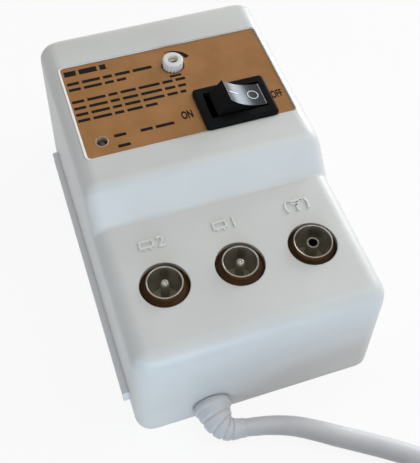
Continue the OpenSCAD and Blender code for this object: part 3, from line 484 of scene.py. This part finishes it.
# Finishes of single pieces and faces
INK = print_ink()
WHITE_INK = finish("white_ink", (0.84, 0.84, 0.84), (0.90, 0.90, 0.90), (0.4, 0.5), patch=1.5)
# Case white painted lighter: a painted highlight on the raised deck marks and on the lip round the face
# plate
LIT_WHITE = finish("lit_white", (0.78, 0.78, 0.77), (0.82, 0.82, 0.81), (0.36, 0.46), patch=18,
                    grain=0.35, depth=0.006, edge=0.2)
RIM_PAINT = finish("lamp_rim", (0.42, 0.30, 0.20), (0.50, 0.36, 0.25), (0.35, 0.45), patch=1.5)
ROCKER = gloss_black("rocker_gloss", (0.24, 0.32), 0.5, (0.74, 0.90, 1.0))
# Painted highlight: pale lines along the ends of the rocker's top
EDGE_HIGHLIGHT = finish("edge_highlight", (0.30, 0.30, 0.31), (0.44, 0.44, 0.46), (0.25, 0.35), patch=1.5)
WASHER_BROWN = washer_brown()
# Painted highlight on the tips of the output pins and the aerial contact, and painted shade on their sides
PIN_TIP = socket_metal("pin_tip", (0.72, 0.70, 0.66), (0.10, 0.09, 0.08), (0.26, 0.22, 0.16))
CONTACT = socket_metal("contact_metal", (0.19, 0.18, 0.155), (0.10, 0.09, 0.08), (0.22, 0.19, 0.14))
PIN_METAL = finish("pin_metal", (0.60, 0.58, 0.54), (0.70, 0.68, 0.64), (0.2, 0.3), metallic=1.0, patch=3,
                   grain=0.2, depth=0.003)
OWN_METAL = {"plug_pins": PIN_METAL, "tv2_pin": PIN_TIP, "tv1_pin": PIN_TIP, "aerial_contact": CONTACT}


# CAD nodes: smooth shading up to a crease angle, and the material of their slot
CREASE = radians(32)
WELD = 0.002
ROCKER_TILT = radians(24)
# Least cosine between a face of the rocker's top and the upright of the tilted rocker
TOP_COSINE = 0.8


def smoothing_group():
    group = bpy.data.node_groups.new("smooth_to_crease", "GeometryNodeTree")
    for side in ("INPUT", "OUTPUT"):
        group.interface.new_socket("Geometry", in_out=side, socket_type="NodeSocketGeometry")
    add = group.nodes.new
    link = group.links.new
    start = add("NodeGroupInput")
    end = add("NodeGroupOutput")
    bare = add("GeometryNodeRemoveAttribute")
    bare.inputs["Name"].default_value = "custom_normal"
    weld = add("GeometryNodeMergeByDistance")
    weld.inputs["Distance"].default_value = WELD * MM
    faces = add("GeometryNodeSetShadeSmooth")
    faces.domain = "FACE"
    edges = add("GeometryNodeSetShadeSmooth")
    edges.domain = "EDGE"
    angle = add("GeometryNodeInputMeshEdgeAngle")
    flat = add("FunctionNodeCompare")
    flat.operation = "LESS_THAN"
    flat.inputs["B"].default_value = CREASE
    link(start.outputs[0], bare.inputs["Geometry"])
    link(bare.outputs["Geometry"], weld.inputs["Geometry"])
    link(weld.outputs["Geometry"], faces.inputs["Geometry"])
    link(faces.outputs["Geometry"], edges.inputs["Geometry"])
    link(angle.outputs["Unsigned Angle"], flat.inputs["A"])
    link(flat.outputs["Result"], edges.inputs["Shade Smooth"])
    link(edges.outputs["Geometry"], end.inputs[0])
    return group


def dress_rocker(mesh):
    """Polished on its hollow top, dull on its ends and sides."""
    up = Vector((sin(ROCKER_TILT), 0, cos(ROCKER_TILT)))
    mesh.materials[0] = ROCKER
    mesh.materials.append(MATERIALS["switch_black"])
    for polygon in mesh.polygons:
        polygon.material_index = 0 if polygon.normal.dot(up) > TOP_COSINE else 1


def dress_nodes():
    group = smoothing_group()
    for row in frame["record"]["subparts"]:
        node = NODES[row["node"]]
        node.data.materials.clear()
        node.data.materials.append(MATERIALS[row["material_slot"]])
        node.modifiers.new("smooth", "NODES").node_group = group
    dress_rocker(NODES["switch_rocker"].data)
    for name, metal in OWN_METAL.items():
        NODES[name].data.materials[0] = metal


dress_nodes()


# Mains lead: from the strain relief along the floor to a tied coil, and on to the plug
CORD_D = 5.8
CORD_START = (-7.5, -63.5, 4.1)
CORD_NEXT = (-4.5, -64, 3.8)
NEAR_ROUTE = [CORD_START, CORD_NEXT, (-1, -64.7, 3.4), (3, -65.9, 3.1), (7, -67.7, 3), (11, -70.1, 3),
              (15, -72.7, 3), (20, -75.9, 3), (27, -80.5, 3), (33, -84.9, 3), (38.5, -90.2, 3.3),
              (42.8, -97, 3.9)]
FAR_ROUTE = [(55.8, -120.3, 25), (57.7, -129.9, 27), (55.8, -139.5, 29.2), (50.4, -147.6, 31.2),
             (42.3, -153.1, 32.7), (32.7, -155, 33.3), (26, -155, 33.3)]
COIL_MID = (14, -131)
COIL_R = 39
COIL_START_A = 20
COIL_END_A = 45
COIL_LAYERS = 4
COIL_LOOPS = 6
COIL_TURNS = COIL_LOOPS - (COIL_END_A - COIL_START_A) / 360
COIL_SPACE = 0.6
COIL_PITCH = CORD_D + COIL_SPACE
COIL_LIFT = 1.4
COIL_Z = COIL_LIFT + CORD_D / 2
COIL_RINGS = 24
LAYER_TURNS = COIL_TURNS / COIL_LAYERS
CLIMB_TURNS = 0.5
# Share of the lead's width at its start, and the number of points over which it grows to the whole
NARROW = 0.82
NARROW_POINTS = 6
LEAD_ROUND_STEPS = 6
LEAD_CURVE_STEPS = 5


def coil_at(t):
    """Centre of the lead after t turns: in and out again, a layer at a time."""
    layer = min(COIL_LAYERS - 1, floor(t / LAYER_TURNS))
    along = t - layer * LAYER_TURNS
    r = COIL_R - COIL_PITCH * (along if layer % 2 == 0 else LAYER_TURNS - along)
    climbs = sum(min(1, max(0, (t - k * LAYER_TURNS) / CLIMB_TURNS + 0.5)) for k in range(1, COIL_LAYERS))
    a = radians(COIL_START_A - 360 * t)
    return Vector((COIL_MID[0] + r * cos(a), COIL_MID[1] + r * sin(a), COIL_Z + COIL_PITCH * climbs))


def coil_end(t, angle, n):
    """A point n diameters along the straight end of the coil at turn t."""
    a = radians(angle)
    return coil_at(t) + n * CORD_D * Vector((sin(a), -cos(a), 0))


def lead_route():
    head = [coil_end(0, COIL_START_A, n) for n in (-2, -1)]
    steps = round(COIL_TURNS * COIL_RINGS)
    coil = [coil_at(COIL_TURNS * i / steps) for i in range(steps + 1)]
    tail = [coil_end(COIL_TURNS, COIL_END_A, n) for n in (1, 2)]
    return [mm(*p) for p in NEAR_ROUTE + head + coil + tail + FAR_ROUTE]


def make_lead():
    route = lead_route()
    curve = bpy.data.curves.new("mains_lead", "CURVE")
    curve.dimensions = "3D"
    curve.bevel_depth = CORD_D * MM / 2
    curve.bevel_resolution = LEAD_ROUND_STEPS
    curve.resolution_u = LEAD_CURVE_STEPS
    curve.use_fill_caps = True
    spline = curve.splines.new("BEZIER")
    spline.bezier_points.add(len(route) - 1)
    for i, (point, place) in enumerate(zip(spline.bezier_points, route)):
        point.co = place
        point.radius = min(1, NARROW + (1 - NARROW) * i / NARROW_POINTS)
        point.handle_left_type = "AUTO"
        point.handle_right_type = "AUTO"
    curve.materials.append(MATERIALS["cord_grey"])
    lead = bpy.data.objects.new("mains_lead", curve)
    SCENE.collection.objects.link(lead)
    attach(lead, "case")
    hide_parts("mains_cord", "cord_coil", "plug_lead")
    return lead


# Strain relief: a ribbed boot that turns from the front wall to the lead, on a collar and neck
INLET = Vector((-14.2, -54.75, 5.4))
NECK_R = 3.8
NECK_IN = 4
COLLAR_R = 5.2
COLLAR_T = 2.0
COLLAR_RIM = 0.4
# The boot starts this far out of the wall, slimmer than its collar, and its last stretch is straight
BOOT_OUT = 1.6
BOOT_STEP_IN = 0.5
BOOT_STRAIGHT = 1
BOOT_HEAD = (Vector(CORD_NEXT) - Vector(CORD_START)).normalized()
BOOT_TURN = 0.5
BOOT_TAPER = 1.4
BOOT_STEPS = 150
BOOT_SIDES = 40
# Share of the boot that has ribs, and share of each rib's pitch that is groove
BOOT_RIBS = 4
RIB_SHARE = 0.7
GROOVE_SHARE = 0.4
GROOVE_DEPTH = 0.4
END_WALL = 0.2
END_R = NARROW * CORD_D / 2 + END_WALL
END_LIP = 0.25
# A rounded rim has one point between its two ends, at this share of its size
ROUND_SHARE = 0.3


def boot_point(t):
    """Middle of the boot, on a curve straight out of the wall and into line with the lead."""
    a = INLET - Vector((0, BOOT_OUT, 0))
    b = Vector(CORD_START) - BOOT_STRAIGHT * BOOT_HEAD
    out = a + Vector((0, b.y - a.y, 0))
    on = b - BOOT_TURN * (b.x - a.x) * BOOT_HEAD
    return (1 - t) ** 3 * a + 3 * (1 - t) ** 2 * t * out + 3 * (1 - t) * t * t * on + t ** 3 * b


def boot_radius(t):
    """Radius of the boot, which tapers and has a groove after each rib."""
    outer = END_R + (COLLAR_R - BOOT_STEP_IN - END_R) * (1 - t) ** BOOT_TAPER
    phase = (t * BOOT_RIBS / RIB_SHARE) % 1
    if phase > 1 - GROOVE_SHARE and t < RIB_SHARE:
        outer -= GROOVE_DEPTH * sin(pi * (phase - 1 + GROOVE_SHARE) / GROOVE_SHARE) ** 2
    return outer


def make_boot():
    steps = [i / BOOT_STEPS for i in range(BOOT_STEPS + 1)]
    path = [boot_point(t) for t in steps]
    radii = [boot_radius(t) for t in steps]
    for share in (1, ROUND_SHARE, 0):
        path.append(Vector(CORD_START) - share * END_LIP * BOOT_HEAD)
    for share in (0, ROUND_SHARE, 1):
        radii.append(END_R - share * END_LIP)
    # Distances out of the wall and radii of the neck and collar
    collar = [(-NECK_IN, NECK_R), (0, NECK_R), (0, COLLAR_R), (COLLAR_T - COLLAR_RIM, COLLAR_R),
              (COLLAR_T - COLLAR_RIM * ROUND_SHARE, COLLAR_R - COLLAR_RIM * ROUND_SHARE),
              (COLLAR_T, COLLAR_R - COLLAR_RIM)]
    collar_path = [INLET - Vector((0, out, 0)) for out, r in collar]
    verts, faces = join_parts([tube(path, radii, BOOT_SIDES, (0, 0, 1)),
                               tube(collar_path, [r for out, r in collar], BOOT_SIDES, (0, 0, 1))])
    boot = add_mesh("ribbed_boot", verts, faces, MATERIALS["cord_grey"])
    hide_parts("strain_relief")
    return boot


LEAD = make_lead()
BOOT = make_boot()


# Printed marks on the face plate
PLATE_TOP = 45.6
INK_T = 0.03
INK_TOP = PLATE_TOP + INK_T
WORDS = (3.4, 5.2, 2.6, 4.4, 6.1, 3.0)
WORD_GAP = 0.9
SHORTEST_WORD = 1
# Each printed line: left end, right end, middle, height of its strokes
PRINT_LINES = [
    (-28.6, -16.4, 36.9, 2.0),
    (-28.6, -3.8, 32.8, 1.1),
    (-28.6, -12, 30.5, 1.0),
    (0.1, 4.2, 27.4, 0.8),
    (-28.8, 4.1, 25.7, 1.0),
    (-28.8, 3.6, 23.2, 1.0),
    (-28.8, 2.9, 20.8, 1.0),
    (-28.8, -6.2, 18.5, 1.0),
    (-20.8, -15.6, 10.5, 1.0),
    (-13.4, -3.5, 10.3, 1.0),
    (-20.6, -15.8, 6.7, 1.0),
]
# Wedge round the gain control: radii and angles in degrees from its wide end to its thin one
GAIN_AXIS = (2.25, 31.55)
WEDGE_INNER = (4.6, 5.7)
WEDGE_OUTER = (6.1, 5.8)
WEDGE_ANGLES = (22, 100)
LETTER = 3.9
# Words at the switch: middle, share of their width, boldness
SWITCH_WORDS = {"ON": ((0.4, 11.9), 0.53, 0.14), "OFF": ((26.9, 11.9), 0.5, 0.1)}


def print_bars():
    """Plain strokes of word length in place of small print."""
    parts = []
    for left, right, y, height in PRINT_LINES:
        x = left
        count = 0
        while x < right - SHORTEST_WORD:
            end = min(right, x + WORDS[count % len(WORDS)])
            parts.append(bar(x, end, y - height / 2, y + height / 2, PLATE_TOP, INK_TOP))
            x = end + WORD_GAP
            count += 1
    return parts


def make_print():
    parts = print_bars()
    parts.append(arc_band(GAIN_AXIS, WEDGE_INNER, WEDGE_OUTER, *WEDGE_ANGLES, PLATE_TOP, INK_TOP))
    for word, (mid, narrow, bold) in SWITCH_WORDS.items():
        parts.append(letters(word, LETTER, mid, PLATE_TOP, INK_T, narrow, bold))
    piece = add_mesh("plate_print", *join_parts(parts), INK, smooth=False)


make_print()


# Sloping lip between the top of the cover and the face plate, painted lighter as a painted highlight, and
# wider at the left and in front where that highlight falls
COVER_TOP = 46
RECESS_HALF = (30, 17.8)
RECESS_R = 1.5
LIP = 0.4
LIP_SHIFT = 0.25
LIP_SUNK = 0.05
LIP_EDGE = 0.02
LIP_FOOT = 0.45


def make_plate_lip():
    low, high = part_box("face_plate")
    mid = [(a + b) / 2 / MM for a, b in zip(low, high)]
    # Each corner of the lip's section: distance in from the recess's wall, shift to the rear right, height
    section = [(-LIP_SUNK, 0, COVER_TOP - LIP_EDGE), (LIP, LIP_SHIFT, PLATE_TOP + LIP_EDGE),
               (LIP, LIP_SHIFT, PLATE_TOP - LIP_EDGE), (-LIP_SUNK, 0, COVER_TOP - LIP_FOOT)]
    loops = []
    for inset, shift, z in section:
        half = [h - inset for h in RECESS_HALF]
        loops.append(round_loop((mid[0] + shift, mid[1] + shift), half, RECESS_R - inset, z))
    piece = add_mesh("plate_lip", *loft(loops, closed=True), LIT_WHITE, smooth=False)


make_plate_lip()


# Raised marks on the deck: a screen and a plain number at each output, an aerial sign at the input
DECK_Z = 37.5
RAISED = 0.35
SUNK = 0.1
MARK_Y = -20.9
STROKE = 0.55
SCREEN_HALF = (2.0, 1.25)
SCREEN_SHIFT = (-1.2, 0.3)
FOOT_X = 0.9
FOOT_H = 0.6
# Each output: its place in the row of sockets and its number
OUTPUTS = ((-1, "2"), (0, "1"))
NUMBER = 4.8
NUMBER_SHIFT = 2.7
NUMBER_NARROW = 0.95
NUMBER_BOLD = 0.06
AERIAL_X = 20.6
MAST_LOW = 1.8
MAST_HIGH = 0.4
TOP_HALF = 1.7
TOP_Y = 1.3
ARM_END = (1.6, 1.5)
WAVE_R = 2.9
WAVE_HALF_A = 32
WAVE_STEPS = 12


def screen_sign(x, y, z0, z1):
    """Outline of a screen on two feet, with its middle at x, y."""
    half_w, half_h = SCREEN_HALF
    half = STROKE / 2
    rings = []
    for sx, sy in ((-1, -1), (1, -1), (1, 1), (-1, 1)):
        outer = (x + sx * half_w, y + sy * half_h)
        inner = (x + sx * (half_w - STROKE), y + sy * (half_h - STROKE))
        rings.append([mm(*inner, z0), mm(*inner, z1), mm(*outer, z1), mm(*outer, z0)])
    foot = y - half_h
    feet = [bar(x + f - half, x + f + half, foot - FOOT_H, foot, z0, z1) for f in (-FOOT_X, FOOT_X)]
    return [loft(rings, closed=True)] + feet


def aerial_sign(x, y, z0, z1):
    """Aerial on a mast, with a wave to either side."""
    half = STROKE / 2
    outer = WAVE_R + STROKE
    tip_y = y + ARM_END[1]
    parts = [bar(x - half, x + half, y - MAST_LOW, y + MAST_HIGH, z0, z1),
             bar(x - TOP_HALF - half, x + TOP_HALF + half, y + TOP_Y, y + TOP_Y + STROKE, z0, z1)]
    for s, middle in ((-1, 180), (1, 0)):
        tip = x + s * ARM_END[0]
        arm = [(x - half, y), (x + half, y), (tip + half, tip_y), (tip - half, tip_y)]
        parts.append(prism(arm, z0, z1))
        parts.append(arc_band((x, y), (WAVE_R, WAVE_R), (outer, outer), middle - WAVE_HALF_A,
                              middle + WAVE_HALF_A, z0, z1, WAVE_STEPS))
    return parts


def make_deck_marks():
    low = DECK_Z - SUNK
    high = DECK_Z + RAISED
    parts = []
    for i, number in OUTPUTS:
        x = i * SOCKET_PITCH
        parts += screen_sign(x + SCREEN_SHIFT[0], MARK_Y + SCREEN_SHIFT[1], low, high)
        parts.append(letters(number, NUMBER, (x + NUMBER_SHIFT, MARK_Y), low, high - low, NUMBER_NARROW,
                             NUMBER_BOLD))
    parts += aerial_sign(AERIAL_X, MARK_Y, low, high)
    # The raised marks are painted lighter than the deck: painted highlight
    piece = add_mesh("deck_marks", *join_parts(parts), LIT_WHITE, smooth=False)


make_deck_marks()


# Marks and painted highlight lines along the ends of the rocker, laid on its hollow top: u runs along it
# and v across
PIVOT = Vector((14.4, 11.85, 43.8))
ROCKER_TIP = 5.9
ROCKER_RISE = 6.4
ROCKER_DIP = 1.2
ROCKER_ARC = (ROCKER_TIP ** 2 + ROCKER_DIP ** 2) / (2 * ROCKER_DIP)
ROCKER_INK_T = 0.08
ROCKER_INK_SUNK = 0.05
DASH_FROM = -4.9
DASH_STEP = 0.33
DASH_STEPS = 10
DASH_HALF = 0.2
RING_U = 3.1
RING_INNER = 1.38
RING_OUTER = 1.6
RING_STEPS = 36
EDGE_INSET = 0.03
EDGE_W = 0.16
EDGE_HALF = 3.9


def on_rocker(u, v, lift):
    """A point over the rocker's hollow top, in metres."""
    z = ROCKER_RISE - ROCKER_DIP + ROCKER_ARC - sqrt(ROCKER_ARC ** 2 - u * u) + lift
    turn = Matrix.Rotation(ROCKER_TILT, 3, "Y")
    return (PIVOT + turn @ Vector((u, v, z))) * MM


def rocker_strip(right, left):
    """Closed strip between two rows of (u, v) points, at the right and the left of the way along it."""
    return loft([[on_rocker(*a, -ROCKER_INK_SUNK), on_rocker(*b, -ROCKER_INK_SUNK),
                  on_rocker(*b, ROCKER_INK_T), on_rocker(*a, ROCKER_INK_T)] for a, b in zip(right, left)])


def make_rocker_marks():
    along = [DASH_FROM + DASH_STEP * i for i in range(DASH_STEPS + 1)]
    dash = [[(u, v) for u in along] for v in (-DASH_HALF, DASH_HALF)]
    turns = [2 * pi * i / RING_STEPS for i in range(RING_STEPS + 1)]
    ring = [[(RING_U + r * cos(a), r * sin(a)) for a in turns] for r in (RING_OUTER, RING_INNER)]
    parts = [rocker_strip(*dash), rocker_strip(*ring)]
    piece = add_mesh("rocker_marks", *join_parts(parts), WHITE_INK, body="rocker", smooth=False)


def make_rocker_edge_highlights():
    """Painted highlight: a pale line along each end of the rocker's top."""
    outer = ROCKER_TIP - EDGE_INSET
    inner = outer - EDGE_W
    parts = [rocker_strip([(high, -EDGE_HALF), (high, EDGE_HALF)], [(low, -EDGE_HALF), (low, EDGE_HALF)])
             for high, low in ((outer, inner), (-inner, -outer))]
    piece = add_mesh("rocker_edge_highlights", *join_parts(parts), EDGE_HIGHLIGHT, body="rocker", smooth=False)


make_rocker_marks()
make_rocker_edge_highlights()


# Rim round the lamp's hole, and a dished washer round each socket
LAMP_AXIS = (-24.4, 9.65)
# Section of the rim: radius, height over the plate
RIM_SECTION = [(1.55, -0.15), (1.85, -0.05), (1.82, 0.04), (1.72, 0.08), (1.6, 0.06), (1.53, 0)]
OUTPUT_R = 4.8
INPUT_R = 5.19
WASHER_R = 6.4
WASHER_TOP = DECK_Z - 0.4
WASHER_EDGE = DECK_Z - 1.3
WASHER_T = 0.5


def make_lamp_rim():
    section = [(r, PLATE_TOP + z) for r, z in RIM_SECTION]
    piece = add_mesh("lamp_rim", *revolve(LAMP_AXIS, section), RIM_PAINT)


def make_washers():
    parts = []
    for i, inner in ((-1, OUTPUT_R), (0, OUTPUT_R), (1, INPUT_R)):
        section = [(inner, WASHER_TOP - WASHER_T), (WASHER_R, WASHER_EDGE - WASHER_T),
                   (WASHER_R, WASHER_EDGE), (inner, WASHER_TOP)]
        parts.append(revolve((i * SOCKET_PITCH, SOCKET_Y), section))
    piece = add_mesh("socket_washers", *join_parts(parts), WASHER_BROWN, smooth=False)


make_lamp_rim()
make_washers()


# Floor, world and lamps, with lengths in metres and power in watts
FLOOR_HALF = 2.0
FLOOR_WHITE = (0.9, 0.9, 0.9, 1)
FLOOR_ROUGHNESS = 0.8
FLOOR_GLOW = 0.89
SKY_WHITE = (0.94, 0.96, 1.0, 1)
SKY_LIGHT = 0.3
SKY_SEEN = 0.9
# Each lamp: name, place, aim, size, power, colour
LAMPS = (
    ("key", (0.45, -0.15, 0.65), (0, 0, 0.02), 0.5, 1.3, (1.0, 1.0, 1.0)),
    ("top", (0, 0.1, 0.9), (0, 0, 0.02), 0.8, 1.2, (1.0, 0.97, 0.75)),
    ("low", (-0.07, -0.6, 0.06), (0, 0, 0.02), 0.4, 2.75, (0.62, 0.82, 1.0)),
    ("right", (0.8, 0.5, 0.18), (0, 0, 0.03), 0.6, 6.4, (0.94, 0.97, 1.0)),
)


def seen_ray(tree):
    """1 for rays from the camera, off a mirror or through glass."""
    path = tree.nodes.new("ShaderNodeLightPath")
    total = path.outputs["Is Camera Ray"]
    for name in ("Is Glossy Ray", "Is Transmission Ray"):
        top = tree.nodes.new("ShaderNodeMath")
        top.operation = "MAXIMUM"
        tree.links.new(total, top.inputs[0])
        tree.links.new(path.outputs[name], top.inputs[1])
        total = top.outputs[0]
    return total


def make_floor():
    corners = [(sx * FLOOR_HALF, sy * FLOOR_HALF, 0) for sx, sy in ((-1, -1), (1, -1), (1, 1), (-1, 1))]
    mesh = bpy.data.meshes.new("floor")
    mesh.from_pydata(corners, [], [(0, 1, 2, 3)])
    floor_object = bpy.data.objects.new("floor", mesh)
    SCENE.collection.objects.link(floor_object)
    material = start_material("floor", FLOOR_ROUGHNESS)
    set_input(material, COLOR, FLOOR_WHITE)
    set_input(material, SPECULAR, 0.0)
    tree = material.node_tree
    glow = tree.nodes.new("ShaderNodeEmission")
    share = tree.nodes.new("ShaderNodeMath")
    share.operation = "MULTIPLY"
    share.inputs[1].default_value = FLOOR_GLOW
    mix = tree.nodes.new("ShaderNodeMixShader")
    tree.links.new(seen_ray(tree), share.inputs[0])
    tree.links.new(share.outputs[0], mix.inputs["Fac"])
    tree.links.new(shader_of(material).outputs["BSDF"], mix.inputs[1])
    tree.links.new(glow.outputs["Emission"], mix.inputs[2])
    tree.links.new(mix.outputs["Shader"], tree.nodes["Material Output"].inputs["Surface"])
    mesh.materials.append(material)


def make_world():
    world = bpy.data.worlds.new("world")
    SCENE.world = world
    world.use_nodes = True
    tree = world.node_tree
    sky = tree.nodes["Background"]
    sky.inputs["Color"].default_value = SKY_WHITE
    tree.links.new(level(tree, seen_ray(tree), 0, 1, SKY_LIGHT, SKY_SEEN), sky.inputs["Strength"])


def area_light(name, place, aim, size, power, color):
    data = bpy.data.lights.new(name, "AREA")
    data.shape = "DISK"
    data.size = size
    data.energy = power
    data.color = color
    lamp = bpy.data.objects.new(name, data)
    lamp.location = place
    lamp.rotation_euler = (Vector(aim) - Vector(place)).to_track_quat("-Z", "Y").to_euler()
    SCENE.collection.objects.link(lamp)


make_floor()
make_world()
for row in LAMPS:
    area_light(*row)
